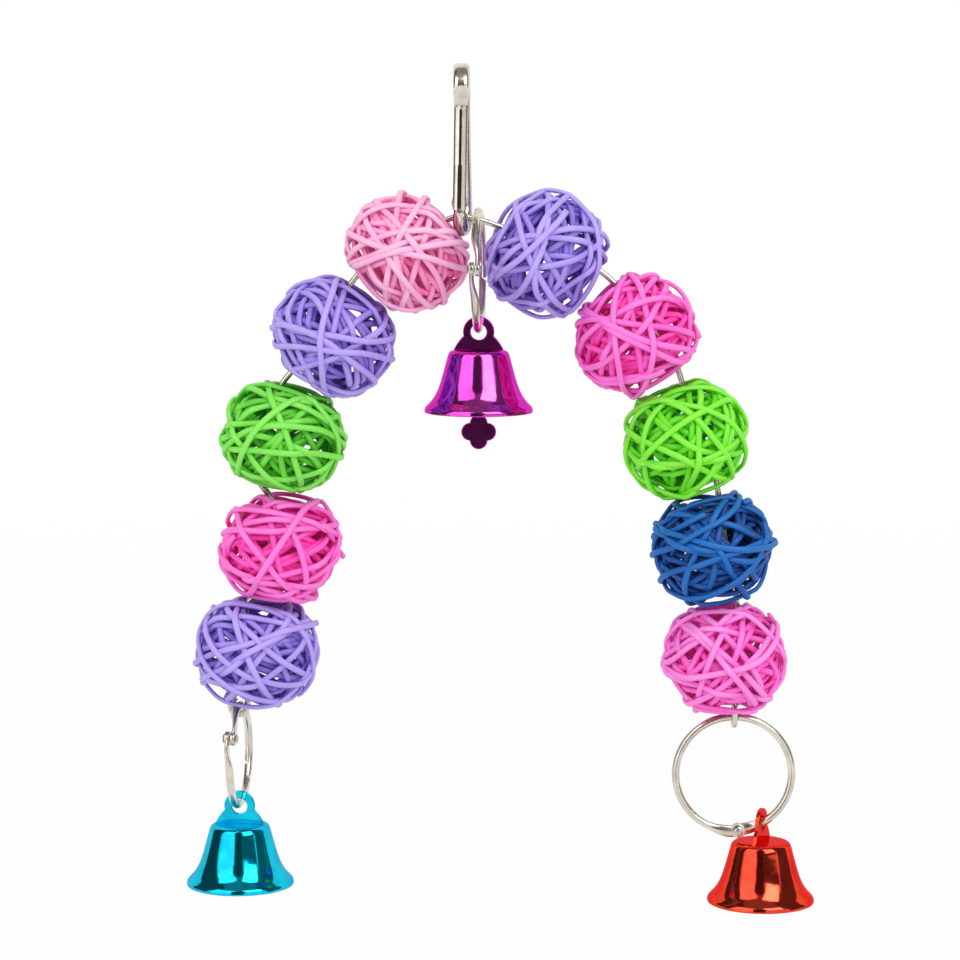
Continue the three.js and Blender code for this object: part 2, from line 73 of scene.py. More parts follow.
class Tone:
    """A socket of a finish's nodes, which can be used in sums."""

    def __init__(self, tree, socket=None):
        self.tree = tree
        self.socket = socket

    def node(self, kind, settings, sockets, output=0):
        """Adds a node: its settings first, then the values or links of its sockets."""
        made = self.tree.nodes.new(kind)
        for name, setting in settings.items():
            if name == "stops":
                set_stops(made.color_ramp, setting)
            else:
                setattr(made, name, setting)
        for name, value in sockets.items():
            if isinstance(value, Tone):
                self.tree.links.new(value.socket, made.inputs[name])
            else:
                made.inputs[name].default_value = value
        return Tone(self.tree, made.outputs[output] if made.outputs else None)

    def sum_node(self, operation, first, second):
        return self.node("ShaderNodeMath", {"operation": operation}, {0: first, 1: second})

    def __add__(self, other):
        return self.sum_node("ADD", self, other)

    __radd__ = __add__

    def __sub__(self, other):
        return self.sum_node("SUBTRACT", self, other)

    def __rsub__(self, other):
        return self.sum_node("SUBTRACT", other, self)

    def __mul__(self, other):
        return self.sum_node("MULTIPLY", self, other)

    __rmul__ = __mul__

    def within(self, low, high):
        """How far the value has come from low to high, from 0 to 1."""
        settings = {"interpolation_type": "SMOOTHSTEP"}
        return self.node("ShaderNodeMapRange", settings, {"Value": self, "From Min": low, "From Max": high})

    def mixed(self, first, second):
        """A colour between two, by this value."""
        return self.node("ShaderNodeMix", {"data_type": "RGBA"}, {0: self, 6: first, 7: second}, 2)

    def noise(self, place, scale, detail=2.0, roughness=0.5):
        sockets = {"Vector": place, "Scale": scale, "Detail": detail, "Roughness": roughness}
        return self.node("ShaderNodeTexNoise", {}, sockets)

    def stretched(self, place, scale):
        return self.node("ShaderNodeMapping", {}, {"Vector": place, "Scale": scale})

    def bump(self, height, strength, depth):
        return self.node("ShaderNodeBump", {}, {"Height": height, "Strength": strength, "Distance": depth})

    def finished(self, sockets):
        """Ends the finish with its surface."""
        surface = self.node("ShaderNodeBsdfPrincipled", {}, sockets)
        self.node("ShaderNodeOutputMaterial", {}, {"Surface": surface})


def set_stops(ramp, stops):
    while len(ramp.elements) < len(stops):
        ramp.elements.new(1)
    for element, (position, colour) in zip(ramp.elements, stops):
        element.position = position
        element.color = colour


def new_finish(name):
    material = bpy.data.materials.new(name)
    material.use_nodes = True
    material.node_tree.nodes.clear()
    return material, Tone(material.node_tree)


def colour(red, green, blue):
    """A screen colour, 0 to 255, as light."""
    parts = [value / 255 for value in (red, green, blue)]
    return (*[part / 12.92 if part < 0.04045 else ((part + 0.055) / 1.055) ** 2.4 for part in parts], 1.0)


# Finishes

def cane_with_painted_shade(name, middle, pale, full, painted_shade_tone):
    """Dyed cane with painted light and shade: paler on the outer strands, where light falls, and deeper in
    the ball, where shade falls, with fine fibres along each strand.
    """
    painted_shade_depth = 11.4 * mm
    painted_light_depth = 15.6 * mm
    outer_share = 0.8
    patch_share = 0.22
    fibre_share = 0.2
    darkening = 0.16
    fibre_stretch = (26, 9, 1)
    fibre_depth = 0.12 * mm
    material, start = new_finish(name)
    place = start.node("ShaderNodeTexCoord", {}, {}, "Object")
    along = start.node("ShaderNodeUVMap", {"uv_map": "UVMap"}, {})
    depth = start.node("ShaderNodeVectorMath", {"operation": "DISTANCE"}, {0: place, 1: middle * mm}, "Value")
    # Painted light and shade: the colour runs from the deep shaded tone inside the ball to the pale lit tone
    # on the outer strands.
    outer = depth.within(painted_shade_depth, painted_light_depth)
    patches = start.noise(place, scale=260, detail=3)
    fibres = start.noise(start.stretched(along, fibre_stretch), scale=3.2, detail=4, roughness=0.6)
    lightness = outer * outer_share + patches * patch_share + fibres * fibre_share - darkening
    stops = [(0.0, painted_shade_tone), (0.5, full), (1.0, pale)]
    tint = start.node("ShaderNodeValToRGB", {"stops": stops}, {"Fac": lightness})
    start.finished({
        "Base Color": tint,
        "Roughness": 0.62 - fibres * 0.2,
        "Specular IOR Level": 0.3,
        "Normal": start.bump(fibres + patches * 0.6, strength=0.35, depth=fibre_depth),
    })
    return material


def plated_metal(name, tint, worn, gloss, dull):
    """Plated metal with soft clouding and fine rubbing marks."""
    upright_stretch = (1, 1, 0.25)
    mark_depth = 0.05 * mm
    material, start = new_finish(name)
    place = start.node("ShaderNodeTexCoord", {}, {}, "Object")
    clouds = start.noise(place, scale=190, detail=3)
    marks = start.noise(start.stretched(place, upright_stretch), scale=2600, detail=3, roughness=0.6)
    start.finished({
        "Base Color": clouds.within(0.35, 0.7).mixed(tint, worn),
        "Metallic": 1.0,
        "Roughness": gloss + clouds * marks * (dull - gloss) * 2,
        "Normal": start.bump(marks, strength=0.05, depth=mark_depth),
    })
    return material


def coloured_lacquer(name, tint, shade):
    """A clear coloured lacquer on bright metal, with faint ripples from dipping."""
    ripple_depth = 0.25 * mm
    material, start = new_finish(name)
    place = start.node("ShaderNodeTexCoord", {}, {}, "Object")
    ripples = start.noise(place, scale=240)
    specks = start.noise(place, scale=1900)
    start.finished({
        "Base Color": (ripples * 0.7 + specks * 0.3).within(0.3, 0.75).mixed(tint, shade),
        "Metallic": 0.98,
        "Roughness": 0.05 + specks * 0.09,
        "Specular Tint": tint,
        "Coat Weight": 0.15,
        "Coat Roughness": 0.03,
        "Normal": start.bump(ripples, strength=0.16, depth=ripple_depth),
    })
    return material


nickel = plated_metal("warm nickel plate", colour(226, 219, 206), colour(203, 194, 180), 0.12, 0.34)
pin_steel = plated_metal("bright pin steel", colour(214, 210, 202), colour(186, 180, 170), 0.2, 0.42)
# Painted shade: the gate's spring leaf gets a dark steel, so that the seam and slot in front of it look dark
shade_dark_steel = plated_metal("dark spring steel", colour(74, 71, 68), colour(48, 46, 44), 0.3, 0.5)
lacquers = {
    "centre": coloured_lacquer("magenta lacquer", colour(226, 84, 206), colour(205, 58, 172)),
    "left": coloured_lacquer("turquoise lacquer", colour(10, 205, 228), colour(8, 172, 212)),
    "right": coloured_lacquer("red lacquer", colour(238, 80, 52), colour(216, 54, 42)),
}

# Making pieces

def set_piece(name, shape, finish, node, sharp=40):
    """Makes a piece of a shape that is drawn in place. It stands for a node and rides on its body.

    Edges that turn by more than the sharp angle, in degrees, are shaded as edges.
    """
    bmesh.ops.transform(shape, matrix=metres, verts=shape.verts)
    mesh = bpy.data.meshes.new(name)
    shape.to_mesh(mesh)
    shape.free()
    mesh.materials.append(finish)
    mesh.shade_smooth()
    mesh.set_sharp_from_angle(angle=math.radians(sharp))
    piece = bpy.data.objects.new(name, mesh)
    bpy.context.scene.collection.objects.link(piece)
    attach(piece, body_of[node])
    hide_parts(node)


def curve_shape(curve):
    """The mesh of a curve, as a shape of its own."""
    holder = bpy.data.objects.new("drawn_curve", curve)
    bpy.context.scene.collection.objects.link(holder)
    mesh = bpy.data.meshes.new_from_object(holder.evaluated_get(bpy.context.evaluated_depsgraph_get()))
    bpy.data.objects.remove(holder)
    bpy.data.curves.remove(curve)
    shape = bmesh.new()
    shape.from_mesh(mesh)
    bpy.data.meshes.remove(mesh)
    return shape


def round_rods(routes, radius, closed=False, swell=None, fineness=3):
    """Round rods along routes of points. A swell gives each point's share of the radius."""
    curve = bpy.data.curves.new("rods", "CURVE")
    curve.dimensions = "3D"
    curve.bevel_depth = radius
    curve.bevel_resolution = fineness
    for route in routes:
        spline = curve.splines.new("POLY")
        spline.points.add(len(route) - 1)
        spline.use_cyclic_u = closed
        for number, (knot, point) in enumerate(zip(spline.points, route)):
            knot.co = (*point, 1)
            knot.radius = swell[number] if swell else 1
    shape = curve_shape(curve)
    bmesh.ops.holes_fill(shape, edges=shape.edges)
    return shape


def flat_plate(outlines, thickness, edge):
    """A plate with rounded edges, drawn in X and Z and centred on Y. Outlines after the first are holes."""
    margin = 0.05
    curve = bpy.data.curves.new("plate", "CURVE")
    curve.dimensions = "2D"
    curve.fill_mode = "BOTH"
    curve.extrude = thickness / 2 - edge
    curve.bevel_depth = edge
    curve.offset = -edge
    curve.bevel_resolution = 2
    for outline in outlines:
        spline = curve.splines.new("POLY")
        spline.points.add(len(outline) - 1)
        spline.use_cyclic_u = True
        for knot, (x, z) in zip(spline.points, outline):
            knot.co = (x, z, 0, 1)
    shape = curve_shape(curve)
    bmesh.ops.remove_doubles(shape, verts=shape.verts, dist=1e-4)
    bmesh.ops.rotate(shape, verts=shape.verts, matrix=Matrix.Rotation(math.pi / 2, 3, "X"))
    shape.normal_update()
    broad = [face for face in shape.faces if abs(face.normal.y) > 0.99]
    bmesh.ops.inset_region(shape, faces=broad, thickness=margin, use_boundary=True, use_even_offset=True)
    return shape


def arc(middle_x, middle_z, radius, start, end, steps):
    turns = [start + (end - start) * step / steps for step in range(steps + 1)]
    return [(middle_x + radius * math.cos(turn), middle_z + radius * math.sin(turn)) for turn in turns]


def take_in(shape, other):
    """Adds another shape to a shape, and does away with the other."""
    mesh = bpy.data.meshes.new("taken_in")
    other.to_mesh(mesh)
    other.free()
    shape.from_mesh(mesh)
    bpy.data.meshes.remove(mesh)


def smooth_route(knots, steps):
    """Points on a smooth curve through the knots, closer together where the knots are."""
    ends = [2 * knots[0] - knots[1], *knots, 2 * knots[-1] - knots[-2]]
    route = []
    for before, here, there, after in zip(ends, ends[1:], ends[2:], ends[3:]):
        first = (here - before).length ** 0.5
        span = (there - here).length ** 0.5
        last = (after - there).length ** 0.5
        leave = ((here - before) / first - (there - before) / (first + span) + (there - here) / span) * span
        reach = ((there - here) / span - (after - here) / (span + last) + (after - there) / last) * span
        route += interpolate_bezier(here, here + leave / 3, there - reach / 3, there, steps + 1)[:-1]
    return [*route, knots[-1]]


def turned_shape(profile, segments):
    """A shape turned about Z from a profile of radius and height, closed where the profile is."""
    shape = bmesh.new()
    verts = [shape.verts.new((radius, 0, height)) for radius, height in profile]
    edges = [shape.edges.new(pair) for pair in zip(verts, verts[1:])]
    bmesh.ops.spin(
        shape, geom=verts + edges, cent=(0, 0, 0), axis=(0, 0, 1), angle=2 * math.pi, steps=segments,
        use_merge=True,
    )
    bmesh.ops.remove_doubles(shape, verts=shape.verts, dist=1e-3)
    bmesh.ops.recalc_face_normals(shape, faces=shape.faces)
    return shape


# Cane balls. A ball is wound about its own Z, which is the wire, and its X points out of the arch.

cane_half_width = 0.76
cane_half_thickness = 0.54
strand_room = 2.1 * cane_half_thickness
inner_loops = 21
end_loops = 4
outer_loops = 9
open_loops = 2
loop_points = 60
settle_rounds = 28
ball_hole = 5.6
ball_wide = 16.1
outer_least = 14.7
core_size = 11.6
core_limit = 13.7
end_room = math.radians(24)
ball_gap = 0.06
wave_start = 6.3
leg_balls = 5
leg_side = {"left": -1, "right": 1}
leg_seeds = {"left": 100, "right": 300}
leg_dyes = {
    "left": ["cane_light_pink", "cane_lavender", "cane_green", "cane_hot_pink", "cane_lavender"],
    "right": ["cane_lavender", "cane_hot_pink", "cane_lime", "cane_blue", "cane_bright_pink"],
}

# How far the first and last ball of a leg reach outwards along the axis, and how much less for each mm aside

leg_ends = {"left": [(9.6, -0.4), (13.0, 0.0)], "right": [(14.6, 0.0), (13.0, 0.0)]}

# Each dye: the pale tone of the outer strands, which holds painted light, the middle tone, and the deepest
# tone, which holds painted shade

dye_tones_with_painted_shade = {
    "cane_light_pink": (colour(255, 200, 232), colour(255, 168, 214), colour(255, 122, 184)),
    "cane_lavender": (colour(196, 176, 250), colour(164, 140, 230), colour(120, 92, 204)),
    "cane_green": (colour(150, 244, 104), colour(110, 218, 66), colour(54, 182, 14)),
    "cane_hot_pink": (colour(255, 138, 226), colour(255, 96, 204), colour(255, 50, 178)),
    "cane_lime": (colour(148, 248, 74), colour(114, 230, 40), colour(74, 212, 6)),
    "cane_blue": (colour(24, 116, 198), colour(8, 86, 168), colour(4, 58, 136)),
    "cane_bright_pink": (colour(255, 156, 234), colour(255, 116, 216), colour(255, 68, 188)),
}


def ball_frame(leg, number):
    """A ball's middle, its axis down the wire, and the way out of the arch."""
    spin = f"ball_{leg}_{number}_spin"
    axis = joint_axis(spin)
    side = leg_side[leg]
    return joint_point(spin), axis, Vector((-side * axis.z, 0, side * axis.x))


def loop_frame(tilt, heading):
    """The plane of a loop: its normal, tilted from the ball's axis, and two directions in it."""
    level = math.sin(tilt)
    normal = np.array([level * math.cos(heading), level * math.sin(heading), math.cos(tilt)])
    first = np.cross(normal, [0.0, 0.0, 1.0])
    first /= np.linalg.norm(first)
    return normal, first, np.cross(normal, first)


def wave(chance, turn, count, size):
    """A wave of a given count round a loop, which starts anywhere."""
    return size * np.sin(count * turn + chance.uniform(0, wave_start))


def draw_loop(chance, tilt, heading, spread, size, corners, kink):
    """One loop of cane, with straight runs between corners: its points, and how far each may give."""
    corner_width = 0.11
    run_give = 0.2
    corner_hold = 0.16
    normal, first, second = loop_frame(tilt, heading)
    turn = np.linspace(0, 2 * math.pi, loop_points, endpoint=False)
    skewed = turn + wave(chance, turn, 1, 0.25)
    sector = np.mod(skewed, 2 * math.pi / corners) - math.pi / corners
    flattened = math.cos(math.pi / corners) / np.cos(sector)
    reach = size * (1 - kink + kink * flattened) + wave(chance, turn, 2, 0.3)
    rise = spread + wave(chance, turn, 2, 0.05) + wave(chance, turn, 5, 0.02)
    level = np.sqrt(1 - rise ** 2)
    start = chance.uniform(0, 2 * math.pi)
    around = np.outer(np.cos(turn + start), first) + np.outer(np.sin(turn + start), second)
    points = reach[:, None] * (np.outer(rise, normal) + level[:, None] * around)
    corner = np.exp(-((math.pi / corners - np.abs(sector)) / corner_width) ** 2)
    return points, run_give - corner_hold * kink * corner


def clears_ends(tilt, spread):
    """Whether a loop stays away from the openings that the wire runs through."""
    opening = math.acos(spread)
    return min(abs(opening - tilt), abs(math.pi - opening - tilt)) > end_room


def first_winding(chance):
    """Loops before they settle: a close inner layer, whose first two bear on the wire, and a loose outer one.

    Between them, a few loops pass close by the openings.
    """
    seat = math.pi / 2 - end_room
    loops = [draw_loop(chance, seat, heading, 0.0, 13.2, corners=6, kink=0.1) for heading in (0.0, math.pi)]
    while len(loops) < inner_loops + end_loops + outer_loops:
        inside = len(loops) < inner_loops
        at_end = inner_loops <= len(loops) < inner_loops + end_loops
        tilt = seat - chance.uniform(0.02, 0.1) if at_end else math.acos(chance.uniform(0.15, 0.99))
        spread = 0.0 if at_end else chance.uniform(-0.34, 0.34) if inside else chance.uniform(-0.5, 0.5)
        if at_end or clears_ends(tilt, spread):
            turn = math.pi / 2 if at_end else 2.4
            heading = turn * len(loops) + chance.uniform(-0.5, 0.5)
            size = chance.uniform(12.0, 13.5) if inside else chance.uniform(15.3, 16.3)
            corners = int(chance.integers(5, 8))
            kink = 0.4 if inside else 0.85
            loops.append(draw_loop(chance, tilt, heading, spread, size, corners, kink))
    points, gives = zip(*loops)
    limits = np.full(len(loops), core_limit)
    outer_most = ball_wide - cane_half_thickness
    limits[inner_loops:] = chance.uniform(outer_least, outer_most, end_loops + outer_loops)
    return np.array(points), np.array(gives)[:, :, None], limits[:, None, None]


def settle(loops, gives, limits, ends):
    """Strands that run into each other part, one over the other, and all stay inside the ball's outline."""
    own_points = 4
    aside_share = 0.35
    over_share = 0.9
    count = loops.shape[0]
    owner = np.repeat(np.arange(count), loop_points)
    step = np.tile(np.arange(loop_points), count)
    for _ in range(settle_rounds):
        points = loops.reshape(-1, 3)
        squares = (points ** 2).sum(1)
        gaps = squares[:, None] + squares[None, :] - 2 * points @ points.T
        one, two = np.nonzero(np.triu(gaps < strand_room ** 2, 1))
        between = np.abs(step[one] - step[two])
        between = np.minimum(between, loop_points - between)
        strangers = (owner[one] != owner[two]) | (between > own_points)
        one, two = one[strangers], two[strangers]
        outward = points / np.sqrt(squares)[:, None]
        line = points[one] - points[two]
        lift = (line * outward[one]).sum(1)
        way = np.where(lift == 0, owner[one] - owner[two], lift)
        line = aside_share * line + np.sign(way)[:, None] * over_share * outward[one]
        distance = np.sqrt(np.maximum(gaps[one, two], 1e-9))
        push = line / np.linalg.norm(line, axis=1)[:, None] * ((strand_room - distance) * 0.5)[:, None]
        moved = np.zeros_like(points)
        shares = np.ones(len(points))
        np.add.at(moved, one, push)
        np.add.at(moved, two, -push)
        np.add.at(shares, one, 0.5)
        np.add.at(shares, two, 0.5)
        loops = (points + moved / shares[:, None]).reshape(loops.shape)
        middle = (np.roll(loops, 1, 1) + np.roll(loops, -1, 1)) / 2
        loops = loops + gives * (middle - loops)
        size = np.linalg.norm(loops, axis=2, keepdims=True)
        loops = loops * np.clip(1, core_size / size, limits / size)
        aside = np.linalg.norm(loops[..., :2], axis=2, keepdims=True)
        lowest, highest = [reach - slope * aside[..., 0] - cane_half_thickness for reach, slope in ends]
        loops[..., 2] = np.clip(loops[..., 2], -lowest, highest)
        loops[..., :2] *= np.maximum(1, ball_hole / np.maximum(aside, 1e-6))
    return loops


def cane_strips(routes, closed):
    """Strands along routes round the ball's middle, pressed into strips with their broad side outwards."""
    shape = round_rods(routes, cane_half_width, closed=closed, fineness=2)
    middles = [Vector(point) for route in routes for point in route]
    ring = len(shape.verts) // len(middles)
    for number, vert in enumerate(shape.verts):
        middle = middles[number // ring]
        outward = middle.normalized()
        rise = (vert.co - middle).dot(outward)
        vert.co -= outward * rise * (1 - cane_half_thickness / cane_half_width)
    return shape


def loose_end(loop):
    """A loop that is cut open, with its two ends standing a little proud."""
    cut_points = 7
    lifts = (0.7, 0.35, 0.1)
    route = [Vector(point) for point in loop[:-cut_points]]
    for number, lift in enumerate(lifts):
        route[number] += route[number].normalized() * lift
        route[-1 - number] += route[-1 - number].normalized() * lift
    return route


def end_limit(leg, number, step):
    """How far a ball reaches along its axis towards the next one, and how much less for each mm aside."""
    if not 1 <= number + step <= leg_balls:
        return leg_ends[leg][(step + 1) // 2]
    middle, axis, _ = ball_frame(leg, number)
    next_middle = ball_frame(leg, number + step)[0]
    way = next_middle - middle
    bend = (axis * step).angle(way)
    return (way.length / 2 - ball_gap) / math.cos(bend), math.tan(bend)


def weave_ball(leg, number):
    name = f"ball_{leg}_{number}"
    middle, axis, out = ball_frame(leg, number)
    chance = np.random.default_rng(leg_seeds[leg] + number)
    ends = [end_limit(leg, number, step) for step in (-1, 1)]
    loops = settle(*first_winding(chance), ends).tolist()
    shape = cane_strips(loops[:-open_loops], True)
    take_in(shape, cane_strips([loose_end(loop) for loop in loops[-open_loops:]], False))
    turned = Matrix((out, axis.cross(out), axis)).transposed().to_4x4()
    bmesh.ops.transform(shape, matrix=Matrix.Translation(middle) @ turned, verts=shape.verts)
    dye = leg_dyes[leg][number - 1]
    finish = cane_with_painted_shade(f"{dye} {leg} {number}", middle, *dye_tones_with_painted_shade[dye])
    set_piece(f"woven_{name}", shape, finish, name, sharp=180)


for leg_name in leg_side:
    for ball_number in range(1, leg_balls + 1):
        weave_ball(leg_name, ball_number)

# Arched wire

apex = Vector((0, 0, -hook_drop + hook_rod + seat_gap + wire_radius))
ball_end = 10.985
wire_seat = 3.673
eye_radius = 2.1
eye_turn = math.radians(250)
eye_steps = 5


def leg_knots(leg):
    """Where the wire of one leg runs through the ends of its balls, from the hook down."""
    knots = []
    for number in range(1, leg_balls + 1):
        middle, axis, out = ball_frame(leg, number)
        knots.append(middle - axis * ball_end + out * (0 if number == 1 else wire_seat))
        knots.append(middle + axis * ball_end + out * wire_seat)
    return knots[:-1]


def eye_knots(eye, sideways):
    """The bent end of the wire: down beside a ring's rod, under it and up again."""
    up = Vector((0, 0, 1))
    turns = [-eye_turn * step / eye_steps for step in range(eye_steps + 1)]
    bend = [eye + sideways * eye_radius * math.cos(turn) + up * eye_radius * math.sin(turn) for turn in turns]
    return [eye + sideways * eye_radius + up * 2 * eye_radius, *bend]


def bend_wire():
    left = leg_knots("left") + eye_knots(joint_point("left_ring_swing"), Vector((1, 0, 0)))
    right = leg_knots("right") + eye_knots(joint_point("right_ring_swing"), Vector((0, -1, 0)))
    route = smooth_route([*reversed(left), apex, *right], steps=9)
    set_piece("bent_arch_wire", round_rods([route], wire_radius), nickel, "arch_wire")


bend_wire()

# Snap hook, drawn in Y and Z with its gate towards -Y

hook_top_bend = 4.5
hook_bottom_bend = 5.7
hook_turn = math.radians(-7)
hook_sway = 0.25
rod_start = 2.0
nose_drop = 6.4
nose_crease = -1.2
nose_front = -6.25
nose_lean = 0.24
gate_pin_rise = 6.4
gate_width = 3.1
gate_depth = 3.0
gate_sheet = 0.5
gate_foot = -1.8
gate_break = 8.7
gate_lip = 0.45
top_middle = hook_rod - hook_top_bend
bottom_middle = hook_bottom_bend - hook_drop
side_lean = math.asin((hook_bottom_bend - hook_top_bend) / (top_middle - bottom_middle))
pivot_z = gate_pin_rise - hook_drop
pivot_y = -hook_bottom_bend + (pivot_z - bottom_middle) * math.tan(side_lean)
pivot = Vector((0, pivot_y, pivot_z))
gate_place = Matrix.Translation(pivot) @ Matrix.Rotation(-side_lean, 4, "X")
gate_rise = (-nose_drop - seat_gap - pivot_z) / math.cos(side_lean)


def twist_hook(shape):
    """Turns the hook about Z and sways it aside, from nothing at its top to the full amount at its bottom."""
    for vert in shape.verts:
        share = min(1, max(0, -vert.co.z / hook_drop))
        vert.co.rotate(Matrix.Rotation(hook_turn * share, 3, "Z"))
        vert.co.x += hook_sway * share


def hook_arc(middle, radius, start, end, steps):
    return [Vector((0, y, z)) for y, z in arc(0, middle, radius, start, end, steps)]


def on_nose(point):
    return point.y < 0 and point.z > -nose_drop - 1


def square_up(shape, route):
    """Presses the rod of the top bend and nose from round to square.

    The nose gets a flat face in front, which leans back towards its tip.
    """
    square_from = 3.5
    square_down_to = -12
    squareness = 5
    square_size = 0.95
    ring = len(shape.verts) // len(route)
    for number, vert in enumerate(shape.verts):
        middle = route[number // ring]
        share = min(1, max(0, (square_from - middle.y) / square_from)) if middle.z > square_down_to else 0
        if share > 0:
            offset = vert.co - middle
            depth = math.hypot(offset.y, offset.z)
            corner = (abs(offset.x) ** squareness + depth ** squareness) ** (1 / squareness) / offset.length
            vert.co = middle + offset * (1 + share * (square_size / corner - 1))
        if on_nose(middle):
            face = nose_front + nose_lean * (nose_crease - vert.co.z)
            vert.co.y = max(vert.co.y, face)


def hook_swell(point):
    """The rod's share of its size: stout in the top bend, tapering down the nose, slim at its lower end."""
    stoutness = 0.13
    stout_over = 10
    stout_from = -14
    nose_taper = 0.25
    taper_from = 0.8
    slim_end = 0.78
    slim_growth = 0.11
    if on_nose(point):
        return 1 + stoutness - nose_taper * max(0, -point.z - taper_from) / nose_drop
    if point.y < 0 and point.z < pivot_z:
        return min(1, slim_end + slim_growth * (pivot_z - rod_start - point.z))
    return 1 + stoutness * min(1, max(0, (point.z - stout_from) / stout_over))


def add_tongue(shape, rod_end):
    """The flat tongue from the rod's lower end up to the gate's pin, rounded about the pin."""
    thickness = 1.3
    depth = 1.6
    set_back = 0.4
    overlap = 1.0
    round_end = 0.85
    drop = rod_end - pivot
    lean = math.atan2(-drop.y, -drop.z)
    place = Matrix.Translation(pivot) @ Matrix.Rotation(-lean, 4, "X")
    length = drop.length + overlap
    slab = Matrix.Translation((0, set_back, -length / 2)) @ Matrix.Diagonal((thickness, depth, length, 1))
    bmesh.ops.create_cube(shape, size=1, matrix=place @ slab)
    bmesh.ops.create_cone(
        shape, cap_ends=True, segments=28, radius1=round_end, radius2=round_end, depth=thickness,
        matrix=place @ Matrix.Rotation(math.pi / 2, 4, "Y"),
    )


def bend_hook():
    """The bent rod, with a blunt square nose, and the flat tongue that the gate turns on."""
    start = math.pi + math.asin((bottom_middle - pivot_z + rod_start) / hook_bottom_bend)
    bottom = hook_arc(bottom_middle, hook_bottom_bend, start, 2 * math.pi + side_lean, steps=16)
    top = hook_arc(top_middle, hook_top_bend, side_lean, math.pi - side_lean, steps=16)
    slope = math.tan(side_lean)
    drops = (1.2, 2.4, nose_drop + top_middle)
    nose = [top[-1] + Vector((0, -slope * drop, -drop)) for drop in drops]
    route = smooth_route([*bottom, *top, *nose], steps=3)
    shape = round_rods([route], hook_rod, swell=[hook_swell(point) for point in route], fineness=8)
    square_up(shape, route)
    add_tongue(shape, bottom[0])
    twist_hook(shape)
    set_piece("bent_hook", shape, nickel, "hook_body", sharp=50)


def sweep_section(shape, corners, sweep):
    """A length of folded sheet: a section given by its corners, swept along."""
    section = shape.faces.new([shape.verts.new(corner) for corner in corners])
    raised = bmesh.ops.extrude_face_region(shape, geom=[section])
    ends = [item for item in raised["geom"] if isinstance(item, bmesh.types.BMVert)]
    bmesh.ops.translate(shape, verts=ends, vec=sweep)


def extrude_fold(shape, fold, low, high):
    """A length of the gate's sheet, with the fold as its section."""
    sweep_section(shape, [(x, y, low) for x, y in fold], (0, 0, high - low))


def gate_fold(seam):
    """Half the gate's section: a rounded front from the seam to the side, and the flat side behind it."""
    roll_turn = math.radians(45)
    roll_steps = 8
    inner_front = 1.1
    half = gate_width / 2
    back = gate_depth / 2
    inside = half - gate_sheet
    bend = half / math.sin(roll_turn)
    seam_turn = math.asin(seam / bend)
    turns = [roll_turn + (seam_turn - roll_turn) * step / roll_steps for step in range(roll_steps + 1)]
    roll = [(bend * math.sin(turn), bend * (1 - math.cos(turn)) - back) for turn in reversed(turns)]
    return [(seam, gate_lip - back), *roll, (half, back), (inside, back), (inside, inner_front - back)]


def fold_gate():
    """The gate: a sheet rolled to a channel, with a close seam down its front above an open slot."""
    slot_half = 0.5
    seam_half = 0.3
    groove_half = 0.35
    groove_size = 0.94
    groove_top = gate_break + 0.12
    ear_top = -0.9
    ear_back = 0.9
    shape = bmesh.new()
    ears = [(x, min(y, ear_back)) for x, y in gate_fold(slot_half)]
    groove = [(x * groove_size, y * groove_size) for x, y in gate_fold(groove_half)]
    extrude_fold(shape, ears, gate_foot, ear_top)
    extrude_fold(shape, gate_fold(slot_half), ear_top, gate_break)
    extrude_fold(shape, gate_fold(seam_half), groove_top, gate_rise)
    extrude_fold(shape, groove, gate_break, groove_top)
    bmesh.ops.mirror(shape, geom=shape.verts[:] + shape.edges[:] + shape.faces[:], axis="X", merge_dist=-1)
    bmesh.ops.recalc_face_normals(shape, faces=shape.faces)
    bmesh.ops.transform(shape, matrix=gate_place, verts=shape.verts)
    twist_hook(shape)
    set_piece("folded_gate", shape, nickel, "hook_gate", sharp=30)


def bend_gate_spring():
    """The leaf inside the gate.

    Its blade lies behind the seam and the slot, and its foot reaches back over the tongue. The leaf is a real
    part, but its dark steel is painted shade, so that the seam and the slot look dark.
    """
    half = 0.95
    thickness = 0.12
    foot = 1.1
    reach = 0.8
    front = gate_lip + 0.05 - gate_depth / 2
    back = front + thickness
    low = gate_foot + 0.3
    high = gate_rise - 0.5
    section = [
        (front, low), (back, low), (back, foot), (reach, foot), (reach, foot + thickness),
        (back, foot + thickness), (back, high), (front, high),
    ]
    shape = bmesh.new()
    sweep_section(shape, [(-half, y, z) for y, z in section], (2 * half, 0, 0))
    bmesh.ops.recalc_face_normals(shape, faces=shape.faces)
    bmesh.ops.transform(shape, matrix=gate_place, verts=shape.verts)
    twist_hook(shape)
    set_piece("gate_spring_leaf", shape, shade_dark_steel, "hook_gate_spring", sharp=30)


def rivet(radius, head, span, head_height):
    """A pin along Y with a low domed head at both ends."""
    half = span / 2
    dome = [(head, half), (head, half + 0.35 * head_height), (0.75 * head, half + 0.85 * head_height)]
    upper = [(radius, half), *dome, (0, half + head_height)]
    profile = [(r, -z) for r, z in reversed(upper)] + upper
    shape = turned_shape(profile, segments=28)
    bmesh.ops.rotate(shape, verts=shape.verts, matrix=Matrix.Rotation(math.pi / 2, 3, "X"))
    return shape


def set_gate_pin():
    shape = rivet(radius=0.65, head=1.1, span=gate_width + 0.1, head_height=0.25)
    bmesh.ops.transform(shape, matrix=gate_place @ Matrix.Rotation(math.pi / 2, 4, "Z"), verts=shape.verts)
    twist_hook(shape)
    set_piece("gate_rivet", shape, pin_steel, "hook_gate_pin")


bend_hook()
fold_gate()
bend_gate_spring()
set_gate_pin()

# Hinged rings, drawn in X and Z round their own middle

